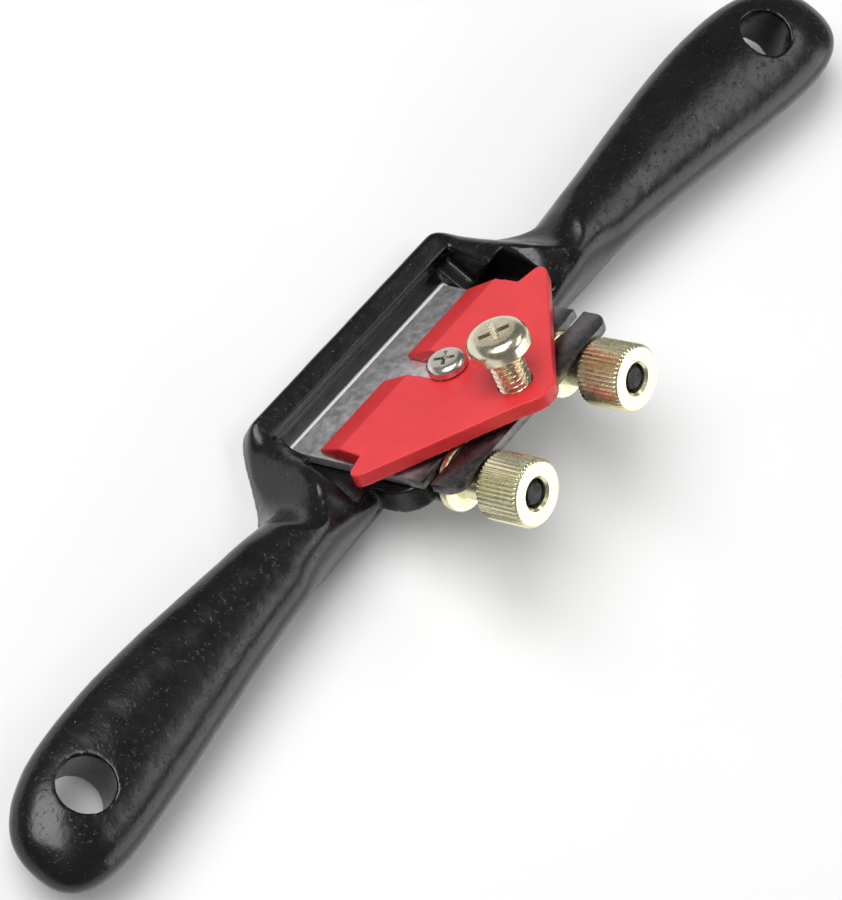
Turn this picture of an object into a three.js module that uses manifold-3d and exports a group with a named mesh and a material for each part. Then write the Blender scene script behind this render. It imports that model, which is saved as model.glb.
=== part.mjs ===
// Spokeshave with a flat sole: cast body with two handles, a cutter on a sloping bed,
// a lever cap with its thumbscrew, and two knurled nuts that feed the cutter.
// Millimetres. +X runs along the handles, +Y is the back (the nuts' side), +Z is up.
// The origin is on the sole, in the middle of its footprint.
import * as THREE from 'three';
import { mergeVertices } from 'three/addons/utils/BufferGeometryUtils.js';
import Module from 'manifold-3d';

const wasm = await Module();
wasm.setup();

// ---------------------------------------------------------------- driving dimensions
const FIT_GAP = 0.3;             // gap kept where one piece rests on another
const RUNNING_GAP = 0.08;        // radial clearance of a nut on its stud

// sole and bed
const SOLE_FRONT = -13.2;        // front face of the rail ahead of the mouth
const SOLE_BACK = 12.3;
const RAIL_TOP = 5.4;
const RAIL_INNER = -9.3;         // the rail's wall that faces the cutter, at its top
const THROAT_FLOOR = { y: -8.4, z: 2.2 };   // the same wall where it turns towards the mouth
const MOUTH_FRONT = -6.45;       // and where it meets the sole
const MOUTH_LIP = { y: -6.6, z: 0.6 };
const MOUTH_HALF = 22.4;         // just wider than the cutter
const EDGE_Y = -6;               // where the cutter's upper face meets the sole plane
const BED_ANGLE = Math.PI / 4;
const SOLE_THICK = 3.5;
const SOLE_HALF_LENGTH = 27;
const SOLE_CORNER = 6;

// cheeks and the pocket between them
const POCKET_HALF = 25.3;        // beside the cutting edge
const EAR_POCKET_HALF = 28.3;    // further back, where the lever cap's ears lie
const EAR_POCKET_FRONT = -1.8;
const CHEEK_BACK_Y = 5;          // the cheeks stop rising here
const CHEEK_TOP = 12.4;

// handles
const FLARE_START = 24.5;        // along X, where the front face starts to turn into the handle
const FLARE_END = 39;
const FOOT_END = 37;             // the flat of the sole reaches this far out under the flare
const FOOT_BACK_X = 30;
const UNDERSIDE_START = 33;      // along X, where the underside starts to lift off the sole
const UNDERSIDE_END = 44;
const SKIRT_HEIGHT = 2.4;        // height of the flare's outer edge
const SKIRT_CLIMB = 1.3;
const SKIRT_FULL = 32;           // along X, where the skirt is fully formed
const HANDLE_START = 31;         // along X, from here the sections grow into the handle's oval
const HANDLE_CLEAR = 47;
const HANDLE_RISE = 18;          // lifts the upper limit clear of the handles
const WIDEST_LOW_Z = 1.2;        // the sections are widest this low, up to the flare
const WIDEST_RISE_START = 34;
const TOP_BLEND = 5;             // height over which the upper surfaces run into one another
const NECK_X = 44;
const SWELL_START = 34;
const NECK_HALF_WIDTH = 6.6;
const NECK_CENTRE_Y = 6.3;
const WIDEST_X = 93;
const WIDEST_HALF_WIDTH = 10.9;
const TIP_X = 111;
const TIP_CENTRE_Y = 10.6;
const TIP_BLUNTNESS = 2.5;       // 2 would be an ellipse
const CENTRE_BEND = 2.8;         // how late the handle curves towards the back
const HANDLE_MIDDLE_Z = 10.2;
const HANDLE_HALF_THICK = 5.5;
const TIP_ROUNDING = 11;         // length over which the thickness closes at the tip
const HANG_HOLE = { x: 96.5, y: 7.2, radius: 4.7 };

// bed plate, in bed coordinates: x, then b up the bed, then n square to it
const BED_TOP_N = -2;
const BED_PLATE_THICK = 4.6;
const BED_HALF_WIDTH = 24;
const BED_END_B = 27.8;
const BED_CORNER = 5;
const BOSS_RADIUS = 4.8;
const BOSS_START_B = 12;

// cutter
const CUTTER_HALF_WIDTH = 22;
const CUTTER_EDGE_B = 0.3;
const CUTTER_TOP_B = 37;
const CUTTER_THICK = 1.7;
const CUTTER_CORNER = 3;
const CUTTER_BEVEL_ANGLE = 0.5;
const FEED_SLOT = { low: 29.4, high: 31.4, innerX: 8.6 };
const CUTTER_HOLE = { low: 17.5, high: 22.5, radius: 3.4 };

// lever cap
const CAP_TOP_N = 3.6;
const CAP_RELIEF_N = 1;          // the underside behind the nose, clear of the cutter
const CAP_NOSE_B = 7;
const CAP_NOSE_LAND_B = 11;
const CAP_BEVEL_END_B = 13.4;
const CAP_NOSE_EDGE_N = 1.1;
const CAP_HALF_WIDTH = 27.4;
const CAP_TAIL_B = 41.6;
const CAP_SLOT = { mouthHalf: 3.4, seatHalf: 2.9, seatB: 17.5, endB: 23 };

// screws, studs and nuts
const CAP_SCREW = { b: 20, shank: 2.4, headRadius: 3.5, headHeight: 2, crown: 0.7, endN: -9.5 };
const THUMB = { b: 34.3, shank: 2.9, headRadius: 5.25, headBottomN: 10.8, headTopN: 14.2, crown: 1.1 };
const SCREW_POINT = 0.6;         // chamfer on the end of each screw
const RECESS = { width: 1, reach: 0.5, depth: 1.3 };   // cross recess, its reach as a share of the head's radius
const STUD = { x: 14.4, n: -5.4, radius: 2.42, startB: 14.5, endB: 45.5, point: 0.7 };
const NUT = {
  flangeB: 29.75, flangeThick: 1.3, neckEndB: 37.6, endB: 46, radius: 5.7, neck: 3.2, chamfer: 0.5, countersink: 0.45,
};

const ROUND_SEGMENTS = 32;
const LOFT_STATIONS = 84;
const LOFT_SIDES = 32;
const PAST = 1;                  // how far a cutting body runs past the face it cuts
const FAR = 60;                  // reach of the largest cutting bodies
const FINEST = 0.01;             // slivers thinner than this are left out of every piece

// ---------------------------------------------------------------- solids
function toSolid(geometry) {
  const bare = geometry.clone();
  bare.deleteAttribute('normal');
  bare.deleteAttribute('uv');
  const merged = mergeVertices(bare, 1e-4);
  return new wasm.Manifold(new wasm.Mesh({
    numProp: 3,
    vertProperties: Float32Array.from(merged.attributes.position.array),
    triVerts: Uint32Array.from(merged.index.array),
  }));
}

function toGeometry(solid) {
  const mesh = solid.getMesh();
  const geometry = new THREE.BufferGeometry();
  geometry.setAttribute('position', new THREE.BufferAttribute(mesh.vertProperties, 3));
  geometry.setIndex(new THREE.BufferAttribute(mesh.triVerts, 1));
  geometry.computeVertexNormals();
  return geometry;
}

// A shape drawn in the XY plane, as a solid from z = low to z = high.
function prism(shape, low, high) {
  const geometry = new THREE.ExtrudeGeometry(shape, {
    depth: high - low, bevelEnabled: false, curveSegments: 10,
  });
  geometry.translate(0, 0, low);
  return toSolid(geometry);
}

// A profile drawn as (Y, Z), as a solid from x = -half to x = +half.
function profileAlongX(points, half) {
  const geometry = new THREE.ExtrudeGeometry(new THREE.Shape(points), { depth: 2 * half, bevelEnabled: false });
  geometry.translate(0, 0, -half);
  geometry.applyMatrix4(new THREE.Matrix4().makeBasis(
    new THREE.Vector3(0, 1, 0), new THREE.Vector3(0, 0, 1), new THREE.Vector3(1, 0, 0)));
  return toSolid(geometry);
}

// A box from its lowest to its highest corner.
function block(low, high) {
  const geometry = new THREE.BoxGeometry(high[0] - low[0], high[1] - low[1], high[2] - low[2]);
  geometry.translate((low[0] + high[0]) / 2, (low[1] + high[1]) / 2, (low[2] + high[2]) / 2);
  return toSolid(geometry);
}

// A turned solid about its own Z axis. The profile is (radius, height) pairs.
function turned(profile) {
  const geometry = new THREE.LatheGeometry(profile.map(([r, z]) => new THREE.Vector2(r, z)), ROUND_SEGMENTS);
  geometry.rotateX(Math.PI / 2);
  return geometry;
}

// A cylinder square to the XY plane.
function post(x, y, radius, low, high) {
  const geometry = turned([[0, low], [radius, low], [radius, high], [0, high]]);
  geometry.translate(x, y, 0);
  return toSolid(geometry);
}

// A cylinder along Y at the given x and z.
function bar(x, z, radius, low, high) {
  const geometry = turned([[0, low], [radius, low], [radius, high], [0, high]]);
  geometry.rotateX(-Math.PI / 2);
  geometry.translate(x, 0, z);
  return toSolid(geometry);
}

// From bed coordinates (x, b, n) to the part's own.
function ontoBed(solid) {
  return solid.rotate([THREE.MathUtils.radToDeg(BED_ANGLE), 0, 0]).translate([0, EDGE_Y, 0]);
}

// A rectangle from (-half, low) to (half, high), with the two upper corners rounded.
function plateShape(half, low, high, corner) {
  const shape = new THREE.Shape();
  shape.moveTo(-half, low);
  shape.lineTo(half, low);
  shape.lineTo(half, high - corner);
  shape.absarc(half - corner, high - corner, corner, 0, Math.PI / 2);
  shape.lineTo(-half + corner, high);
  shape.absarc(-half + corner, high - corner, corner, Math.PI / 2, Math.PI);
  return shape;
}

// ---------------------------------------------------------------- body casting
const ease = THREE.MathUtils.smoothstep;
const mix = THREE.MathUtils.lerp;

function handleHalfWidth(x) {
  if (x > WIDEST_X) {
    const past = Math.min(1, (x - WIDEST_X) / (TIP_X - WIDEST_X));
    return WIDEST_HALF_WIDTH * (1 - past ** TIP_BLUNTNESS) ** (1 / TIP_BLUNTNESS);
  }
  return mix(NECK_HALF_WIDTH, WIDEST_HALF_WIDTH, ease(x, SWELL_START, WIDEST_X));
}

function handleCentreY(x) {
  const along = Math.max(0, (x - NECK_X) / (TIP_X - NECK_X));
  return mix(NECK_CENTRE_Y, TIP_CENTRE_Y, along ** CENTRE_BEND);
}

function handleHalfThick(x) {
  const past = Math.max(0, (x - (TIP_X - TIP_ROUNDING)) / TIP_ROUNDING);
  return HANDLE_HALF_THICK * Math.sqrt(Math.max(0, 1 - past ** 2));
}

// The casting's outer limits at a distance x from the middle.
function station(x) {
  const centre = handleCentreY(x);
  const half = handleHalfWidth(x);
  const thick = handleHalfThick(x);
  return {
    front: mix(SOLE_FRONT, centre - half, ease(x, FLARE_START, FLARE_END)),
    back: mix(SOLE_BACK, centre + half, ease(x, FLARE_START, FLARE_END)),
    bottom: mix(0, HANDLE_MIDDLE_Z - thick, ease(x, UNDERSIDE_START, UNDERSIDE_END)),
    widest: mix(WIDEST_LOW_Z, HANDLE_MIDDLE_Z, ease(x, WIDEST_RISE_START, HANDLE_CLEAR)),
    top: HANDLE_MIDDLE_Z + thick,
  };
}

// The upper surface climbs from the rail to the cheeks. Out at the flare it starts from a low
// skirt at the sole and climbs steeply to the handle.
function upperLimit(x, y, front) {
  const toCheek = THREE.MathUtils.clamp((y - RAIL_INNER) / (CHEEK_BACK_Y - RAIL_INNER), 0, 1);
  const middle = mix(RAIL_TOP, CHEEK_TOP, toCheek);
  const skirt = SKIRT_HEIGHT + SKIRT_CLIMB * (y - front);
  const limit = mix(middle, Math.min(skirt, HANDLE_MIDDLE_Z + HANDLE_HALF_THICK), ease(x, FLARE_START, SKIRT_FULL));
  return limit + HANDLE_RISE * ease(x, HANDLE_START, HANDLE_CLEAR);
}

// The lower of two heights, rounded where they meet.
function smoothLower(a, b) {
  const near = Math.max(0, 1 - Math.abs(a - b) / TOP_BLEND);
  return Math.min(a, b) - near * near * TOP_BLEND / 4;
}

// One smooth body from tip to tip: a sphere whose rings become the sections.
function castingBlank() {
  const geometry = new THREE.SphereGeometry(1, LOFT_SIDES, LOFT_STATIONS);
  const position = geometry.attributes.position;
  for (let i = 0; i < position.count; i += 1) {
    const along = position.getY(i);
    const ring = Math.max(1e-9, Math.hypot(position.getX(i), position.getZ(i)));
    const across = position.getX(i) / ring;
    const up = position.getZ(i) / ring;
    const pole = Math.abs(along) > 1 - 1e-9;
    const x = TIP_X * Math.sign(along) * (2 / Math.PI) * Math.asin(Math.min(1, Math.abs(along)));
    const limits = station(pole ? TIP_X : Math.abs(x));
    const squareness = mix(0.55, 0.9, ease(Math.abs(x), SOLE_HALF_LENGTH, NECK_X));
    const y = mix(limits.front, limits.back, 0.5 - 0.5 * Math.sign(across) * Math.abs(across) ** squareness);
    const z = mix(limits.widest, up > 0 ? limits.top : limits.bottom, Math.abs(up) ** squareness);
    const limit = upperLimit(Math.abs(x), y, limits.front);
    position.setXYZ(i, x, y, up > 0 ? Math.max(smoothLower(z, limit), limits.bottom) : z);
  }
  return toSolid(geometry);
}

// The flat-bottomed footprint, so that the sole is a true plane.
function solePlate() {
  const shape = new THREE.Shape();
  const side = SOLE_HALF_LENGTH;
  shape.moveTo(-side + SOLE_CORNER, SOLE_FRONT);
  shape.lineTo(side - SOLE_CORNER, SOLE_FRONT);
  shape.quadraticCurveTo(side, SOLE_FRONT, side, SOLE_FRONT + SOLE_CORNER);
  shape.lineTo(side, SOLE_BACK);
  shape.lineTo(-side, SOLE_BACK);
  shape.lineTo(-side, SOLE_FRONT + SOLE_CORNER);
  shape.quadraticCurveTo(-side, SOLE_FRONT, -side + SOLE_CORNER, SOLE_FRONT);
  return prism(shape, 0, SOLE_THICK).add(flareFoot());
}

// The sole's flat runs on under both flares, as thin as their skirts.
function flareFoot() {
  const front = [];
  for (let x = -FOOT_END; x <= FOOT_END; x += 1) {
    front.push(new THREE.Vector2(x, station(Math.abs(x)).front));
  }
  const shape = new THREE.Shape(front);
  shape.quadraticCurveTo(FOOT_END, SOLE_BACK, FOOT_BACK_X, SOLE_BACK);
  shape.lineTo(-FOOT_BACK_X, SOLE_BACK);
  shape.quadraticCurveTo(-FOOT_END, SOLE_BACK, -FOOT_END, front[0].y);
  return prism(shape, 0, SKIRT_HEIGHT);
}

// The sloping plate that carries the cutter, with bosses for the studs and the cap screw.
function bedPlate() {
  const bottom = BED_TOP_N - BED_PLATE_THICK;
  let bed = prism(plateShape(BED_HALF_WIDTH, 0, BED_END_B, BED_CORNER), bottom, BED_TOP_N);
  for (const side of [-1, 1]) {
    bed = bed.add(bar(side * STUD.x, STUD.n, BOSS_RADIUS, BOSS_START_B, BED_END_B));
  }
  bed = bed.add(post(0, CAP_SCREW.b, BOSS_RADIUS, CAP_SCREW.endN - FIT_GAP, BED_TOP_N));
  bed = bed.subtract(block([-FAR, -FAR, BED_TOP_N], [FAR, FAR, FAR]));
  return ontoBed(bed).intersect(block([-FAR, -FAR, 0], [FAR, FAR, FAR]));
}

// Everything above the bed and between the cheeks is open, down through the mouth.
function pocket() {
  const reach = FAR;
  const mouthBack = EDGE_Y - BED_TOP_N / Math.sin(BED_ANGLE);
  const throat = profileAlongX([
    new THREE.Vector2(THROAT_FLOOR.y, THROAT_FLOOR.z),
    new THREE.Vector2(mouthBack + THROAT_FLOOR.z, THROAT_FLOOR.z),
    new THREE.Vector2(mouthBack + reach, reach),
    new THREE.Vector2(RAIL_INNER, reach),
    new THREE.Vector2(RAIL_INNER, RAIL_TOP),
  ], POCKET_HALF);
  const mouth = profileAlongX([
    new THREE.Vector2(MOUTH_FRONT, -PAST),
    new THREE.Vector2(mouthBack - PAST, -PAST),
    new THREE.Vector2(mouthBack + RAIL_TOP, RAIL_TOP),
    new THREE.Vector2(RAIL_INNER, RAIL_TOP),
    new THREE.Vector2(THROAT_FLOOR.y, THROAT_FLOOR.z),
    new THREE.Vector2(MOUTH_LIP.y, MOUTH_LIP.z),
    new THREE.Vector2(MOUTH_FRONT, 0),
  ], MOUTH_HALF);
  const earSpace = profileAlongX([
    new THREE.Vector2(EAR_POCKET_FRONT, EAR_POCKET_FRONT - mouthBack),
    new THREE.Vector2(mouthBack + reach, reach),
    new THREE.Vector2(EAR_POCKET_FRONT, reach),
  ], EAR_POCKET_HALF);
  return throat.add(mouth).add(earSpace);
}

// The open wedge behind the bed plate, above the sole.
function wedgeUnderBed() {
  const plateBottom = EDGE_Y - (BED_TOP_N - BED_PLATE_THICK) / Math.sin(BED_ANGLE);
  return profileAlongX([
    new THREE.Vector2(plateBottom + SOLE_THICK, SOLE_THICK),
    new THREE.Vector2(SOLE_BACK + FAR, SOLE_THICK),
    new THREE.Vector2(SOLE_BACK + FAR, SOLE_BACK + FAR - plateBottom),
  ], BED_HALF_WIDTH);
}

function bodyCasting() {
  let body = castingBlank().add(solePlate());
  body = body.subtract(wedgeUnderBed()).add(bedPlate()).subtract(pocket());
  for (const side of [-1, 1]) {
    body = body.subtract(post(side * HANG_HOLE.x, HANG_HOLE.y, HANG_HOLE.radius, -PAST, FAR));
    body = body.subtract(ontoBed(bar(side * STUD.x, STUD.n, STUD.radius + FIT_GAP, STUD.startB - PAST, FAR)));
  }
  body = body.subtract(ontoBed(post(0, CAP_SCREW.b, CAP_SCREW.shank + FIT_GAP, CAP_SCREW.endN - FIT_GAP, FAR)));
  return body.intersect(block([-2 * FAR, -FAR, 0], [2 * FAR, FAR, FAR]));
}

// ---------------------------------------------------------------- cutter and lever cap
function cutter() {
  let blade = prism(
    plateShape(CUTTER_HALF_WIDTH, CUTTER_EDGE_B, CUTTER_TOP_B, CUTTER_CORNER), -CUTTER_THICK, 0);
  const slotMiddle = (FEED_SLOT.low + FEED_SLOT.high) / 2;
  const slotRadius = (FEED_SLOT.high - FEED_SLOT.low) / 2;
  for (const side of [-1, 1]) {
    const inner = side * (FEED_SLOT.innerX + slotRadius);
    const outer = side * (CUTTER_HALF_WIDTH + PAST);
    blade = blade.subtract(block(
      [Math.min(inner, outer), FEED_SLOT.low, -CUTTER_THICK - PAST],
      [Math.max(inner, outer), FEED_SLOT.high, PAST]));
    blade = blade.subtract(post(inner, slotMiddle, slotRadius, -CUTTER_THICK - PAST, PAST));
  }
  const hole = CUTTER_HOLE;
  for (const b of [hole.low, hole.high]) {
    blade = blade.subtract(post(0, b, hole.radius, -CUTTER_THICK - PAST, PAST));
  }
  blade = blade.subtract(block(
    [-hole.radius, hole.low, -CUTTER_THICK - PAST], [hole.radius, hole.high, PAST]));
  const rise = CUTTER_THICK + PAST;
  const run = rise / Math.tan(CUTTER_BEVEL_ANGLE);
  const bevel = profileAlongX([
    new THREE.Vector2(CUTTER_EDGE_B - PAST, -rise),
    new THREE.Vector2(CUTTER_EDGE_B + run, -rise),
    new THREE.Vector2(CUTTER_EDGE_B, 0),
    new THREE.Vector2(CUTTER_EDGE_B - PAST, 0),
  ], CUTTER_HALF_WIDTH + PAST);
  return blade.subtract(bevel);
}

// The cap's outline: square nose, a step out to each ear, and sides that run in to the tail.
function capShape() {
  const right = [[21.2, CAP_NOSE_B], [22.3, 13.6], [22.6, 18.2], [25.8, 18.9]];
  const ear = [[CAP_HALF_WIDTH, 19.2], [CAP_HALF_WIDTH, 20.8]];
  const flank = [26.2, 21.8];
  const tail = { x: 4.6, b: 38.8, cornerX: 2.4 };
  const shape = new THREE.Shape();
  shape.moveTo(0, CAP_NOSE_B);
  right.forEach(([x, b]) => shape.lineTo(x, b));
  shape.bezierCurveTo(...ear[0], ...ear[1], ...flank);
  shape.lineTo(tail.x, tail.b);
  shape.quadraticCurveTo(tail.cornerX, CAP_TAIL_B, 0, CAP_TAIL_B);
  shape.quadraticCurveTo(-tail.cornerX, CAP_TAIL_B, -tail.x, tail.b);
  shape.lineTo(-flank[0], flank[1]);
  shape.bezierCurveTo(-ear[1][0], ear[1][1], -ear[0][0], ear[0][1], -right[3][0], right[3][1]);
  right.slice(0, 3).reverse().forEach(([x, b]) => shape.lineTo(-x, b));
  return shape;
}

function leverCap() {
  let cap = prism(capShape(), FIT_GAP, CAP_TOP_N);
  cap = cap.subtract(profileAlongX([
    new THREE.Vector2(CAP_NOSE_B - PAST, CAP_NOSE_EDGE_N),
    new THREE.Vector2(CAP_NOSE_B, CAP_NOSE_EDGE_N),
    new THREE.Vector2(CAP_BEVEL_END_B, CAP_TOP_N),
    new THREE.Vector2(CAP_BEVEL_END_B, CAP_TOP_N + PAST),
    new THREE.Vector2(CAP_NOSE_B - PAST, CAP_TOP_N + PAST),
  ], FAR));
  cap = cap.subtract(block([-FAR, CAP_NOSE_LAND_B, -PAST], [FAR, FAR, CAP_RELIEF_N]));
  const slot = new THREE.Shape();
  const { mouthHalf, seatHalf, seatB, endB } = CAP_SLOT;
  slot.moveTo(-mouthHalf, CAP_NOSE_B - PAST);
  slot.lineTo(mouthHalf, CAP_NOSE_B - PAST);
  slot.lineTo(mouthHalf, CAP_NOSE_B);
  slot.lineTo(seatHalf, seatB);
  slot.lineTo(seatHalf, endB - seatHalf);
  slot.absarc(0, endB - seatHalf, seatHalf, 0, Math.PI);
  slot.lineTo(-seatHalf, seatB);
  slot.lineTo(-mouthHalf, CAP_NOSE_B);
  cap = cap.subtract(prism(slot, -PAST, CAP_TOP_N + PAST));
  return cap.subtract(post(0, THUMB.b, THUMB.shank + RUNNING_GAP, -PAST, CAP_TOP_N + PAST));
}

// ---------------------------------------------------------------- screws, studs and nuts
// A pan head on a chamfered shank, with a cross recess for the driver.
function panHeadScrew(low, seat, top, { shank, headRadius, crown }) {
  const screw = toSolid(turned([
    [0, low], [shank - SCREW_POINT, low], [shank, low + SCREW_POINT], [shank, seat], [headRadius, seat],
    [headRadius, top - crown], [headRadius - crown / 3, top - crown / 3], [headRadius - crown, top], [0, top],
  ]));
  const half = RECESS.width / 2;
  const reach = RECESS.reach * headRadius;
  const floor = top - RECESS.depth;
  return screw
    .subtract(block([-reach, -half, floor], [reach, half, top + PAST]))
    .subtract(block([-half, -reach, floor], [half, reach, top + PAST]));
}

function leverCapScrew() {
  const seat = CAP_TOP_N + FIT_GAP;
  return panHeadScrew(CAP_SCREW.endN, seat, seat + CAP_SCREW.headHeight, CAP_SCREW);
}

function thumbscrew() {
  return panHeadScrew(FIT_GAP, THUMB.headBottomN, THUMB.headTopN, THUMB);
}

function stud() {
  const { radius, startB, endB, point } = STUD;
  return toSolid(turned([
    [0, startB], [radius - point, startB], [radius, startB + point],
    [radius, endB - point], [radius - point, endB], [0, endB],
  ]));
}

function adjustingNut() {
  const { flangeB, flangeThick, neckEndB, endB, radius, neck, chamfer, countersink } = NUT;
  const bore = STUD.radius + RUNNING_GAP;
  return toSolid(turned([
    [bore, flangeB], [radius, flangeB], [radius, flangeB + flangeThick], [neck, flangeB + flangeThick],
    [neck, neckEndB], [radius - chamfer, neckEndB], [radius, neckEndB + chamfer],
    [radius, endB - chamfer], [radius - chamfer, endB], [bore + countersink, endB], [bore, endB - countersink],
    [bore, flangeB],
  ]));
}

// ---------------------------------------------------------------- assembly
const blackPaint = new THREE.MeshStandardMaterial({ color: 0x1b1b1f, roughness: 0.35, metalness: 0.1 });
const redPaint = new THREE.MeshStandardMaterial({ color: 0xd8262c, roughness: 0.4, metalness: 0.1 });
const groundSteel = new THREE.MeshStandardMaterial({ color: 0x9a9a9c, roughness: 0.35, metalness: 1 });
const darkSteel = new THREE.MeshStandardMaterial({ color: 0x3a3a3d, roughness: 0.45, metalness: 1 });
const brass = new THREE.MeshStandardMaterial({ color: 0xe2cf8e, roughness: 0.3, metalness: 1 });

function piece(name, solid, material) {
  const mesh = new THREE.Mesh(toGeometry(solid.asOriginal().simplify(FINEST)), material);
  mesh.name = name;
  return mesh;
}

const spokeshave = new THREE.Group();
spokeshave.add(piece('body_casting', bodyCasting(), blackPaint));

// Everything that lies along the bed is placed in the bed's own coordinates.
const bed = new THREE.Group();
bed.position.set(0, EDGE_Y, 0);
bed.rotation.x = BED_ANGLE;
bed.add(piece('cutter', cutter(), groundSteel));
bed.add(piece('lever_cap', leverCap(), redPaint));

const capScrew = piece('lever_cap_screw', leverCapScrew(), groundSteel);
capScrew.position.set(0, CAP_SCREW.b, 0);
bed.add(capScrew);

const clampScrew = piece('thumbscrew', thumbscrew(), brass);
clampScrew.position.set(0, THUMB.b, 0);
bed.add(clampScrew);

for (const [side, x] of [['left', -STUD.x], ['right', STUD.x]]) {
  const parts = [piece(`adjusting_stud_${side}`, stud(), darkSteel), piece(`adjusting_nut_${side}`, adjustingNut(), brass)];
  for (const mesh of parts) {
    mesh.position.set(x, 0, STUD.n);
    mesh.rotation.x = -Math.PI / 2;
    bed.add(mesh);
  }
}
spokeshave.add(bed);

export default spokeshave;
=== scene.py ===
"""Looks for the spokeshave. Shapes are worked out in millimetres and placed in metres."""

import math

import bpy
import numpy as np
from mathutils import Matrix, Vector, noise


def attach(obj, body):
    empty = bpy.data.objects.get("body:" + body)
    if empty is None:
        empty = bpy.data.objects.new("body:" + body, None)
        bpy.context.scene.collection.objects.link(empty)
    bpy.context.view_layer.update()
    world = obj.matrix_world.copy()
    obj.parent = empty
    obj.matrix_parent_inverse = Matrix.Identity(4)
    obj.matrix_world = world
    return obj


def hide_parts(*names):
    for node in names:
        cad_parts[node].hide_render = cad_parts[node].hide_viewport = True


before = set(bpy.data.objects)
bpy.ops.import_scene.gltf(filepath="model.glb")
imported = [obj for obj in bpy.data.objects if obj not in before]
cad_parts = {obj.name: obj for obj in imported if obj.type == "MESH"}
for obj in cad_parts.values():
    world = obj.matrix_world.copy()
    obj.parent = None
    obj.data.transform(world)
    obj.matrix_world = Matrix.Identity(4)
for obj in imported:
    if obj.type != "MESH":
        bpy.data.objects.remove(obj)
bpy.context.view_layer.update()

MM = 0.001

# ------------------------------------------------------------------ driving dimensions, mm
# sole, cheeks and throat
SOLE_FRONT, SOLE_BACK = -13.2, 12.3
SOLE_THICK, SOLE_HALF_LENGTH, SOLE_CORNER = 3.5, 27.0, 6.0
RAIL_INNER, RAIL_TOP = -9.3, 5.4
THROAT_FLOOR, MOUTH_LIP, MOUTH_FRONT, MOUTH_HALF = (-8.4, 2.2), (-6.6, 0.6), -6.45, 22.4
EDGE_Y, BED_ANGLE = -6.0, math.pi / 4
POCKET_HALF, EAR_POCKET_HALF, EAR_POCKET_FRONT = 25.3, 28.3, -1.8
CHEEK_BACK_Y, CHEEK_TOP = 5.0, 12.4

# handles, with x measured out from the middle
FLARE_START, FLARE_END = 24.5, 39.0
FOOT_END, FOOT_BACK_X = 37.0, 30.0
UNDERSIDE_START, UNDERSIDE_END = 33.0, 44.0
SKIRT_HEIGHT, SKIRT_CLIMB, SKIRT_FULL = 2.4, 1.3, 32.0
HANDLE_START, HANDLE_CLEAR, HANDLE_RISE = 31.0, 47.0, 18.0
WIDEST_LOW_Z, WIDEST_RISE_START = 1.2, 34.0
TOP_BLEND = 5.0  # height over which the top's two limits run into each other
NECK_X, SWELL_START, NECK_HALF_WIDTH, NECK_CENTRE_Y = 44.0, 34.0, 6.6, 6.3
WIDEST_X, WIDEST_HALF_WIDTH = 93.0, 10.9
TIP_X, TIP_CENTRE_Y, TIP_ROUNDING = 111.0, 10.6, 11.0
TIP_BLUNTNESS, CENTRE_BEND = 2.5, 2.8
HANDLE_MIDDLE_Z, HANDLE_HALF_THICK = 10.2, 5.5
HOLE_X, HOLE_Y, HOLE_RADIUS = 96.5, 7.2, 4.7
SQUARE_MIDDLE, SQUARE_HANDLE = 0.55, 0.9  # powers of the section's outline: 1 is an oval, 0 a rectangle

# bed plate: b runs up the bed from the cutting edge, n stands square to it
BED_TOP_N, BED_PLATE_THICK, BED_HALF_WIDTH, BED_END_B, BED_CORNER = -2.0, 4.6, 24.0, 27.8, 5.0
BOSS_RADIUS, BOSS_START_B = 4.8, 12.0

# cutter
CUTTER_HALF_WIDTH, CUTTER_EDGE_B, CUTTER_TOP_B = 22.0, 0.3, 37.0
CUTTER_THICK, CUTTER_CORNER, CUTTER_BEVEL_ANGLE = 1.7, 3.0, 0.5
FEED_SLOT_LOW, FEED_SLOT_HIGH, FEED_SLOT_INNER = 29.4, 31.4, 8.6
CUTTER_HOLE_LOW, CUTTER_HOLE_HIGH, CUTTER_HOLE_RADIUS = 17.5, 22.5, 3.4
GROUND_END_B, DARK_START_B = 22.0, 30.0
CUTTER_SOFT_EDGE = 0.12

# lever cap
REST_GAP = 0.3
CAP_TOP_N, CAP_RELIEF_N, CAP_NOSE_EDGE_N = 3.6, 1.0, 1.1
CAP_NOSE_B, CAP_NOSE_LAND_B, CAP_BEVEL_END_B, CAP_TAIL_B = 7.0, 11.0, 13.4, 41.6
CAP_HALF_WIDTH, CAP_TAIL_CORNER = 27.4, 2.4
CAP_SLOT_MOUTH, CAP_SLOT_SEAT, CAP_SLOT_SEAT_B, CAP_SLOT_END_B = 3.4, 2.9, 17.5, 23.0

# screws, studs and nuts
CAP_SCREW_B, CAP_SCREW_RADIUS, CAP_SCREW_HEAD, CAP_SCREW_HEIGHT = 20.0, 2.4, 3.5, 2.0
CAP_SCREW_END_N, CAP_SCREW_PITCH, CAP_SCREW_TURN = -9.5, 0.8, 0.5
THUMB_B, THUMB_RADIUS, THUMB_HEAD, THUMB_PITCH = 34.3, 2.9, 5.25, 1.0
THUMB_HEAD_BOTTOM, THUMB_HEAD_TOP, THUMB_TURN, THUMB_GAP = 10.8, 14.2, 0.9, 0.08
SHANK_CHAMFER, HEAD_RIM, HEAD_DOME = 0.6, 0.42, 0.34
RECESS_REACH, RECESS_WIDTH, RECESS_DEPTH = 0.52, 0.2, 0.42  # shares of the head's radius
STUD_X, STUD_N, STUD_RADIUS, STUD_START_B, STUD_END_B, STUD_PITCH = 14.4, -5.4, 2.42, 14.5, 45.5, 0.8
NUT_FLANGE_B, NUT_FLANGE_THICK, NUT_NECK_END_B, NUT_END_B = 29.75, 1.3, 37.6, 46.0
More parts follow.
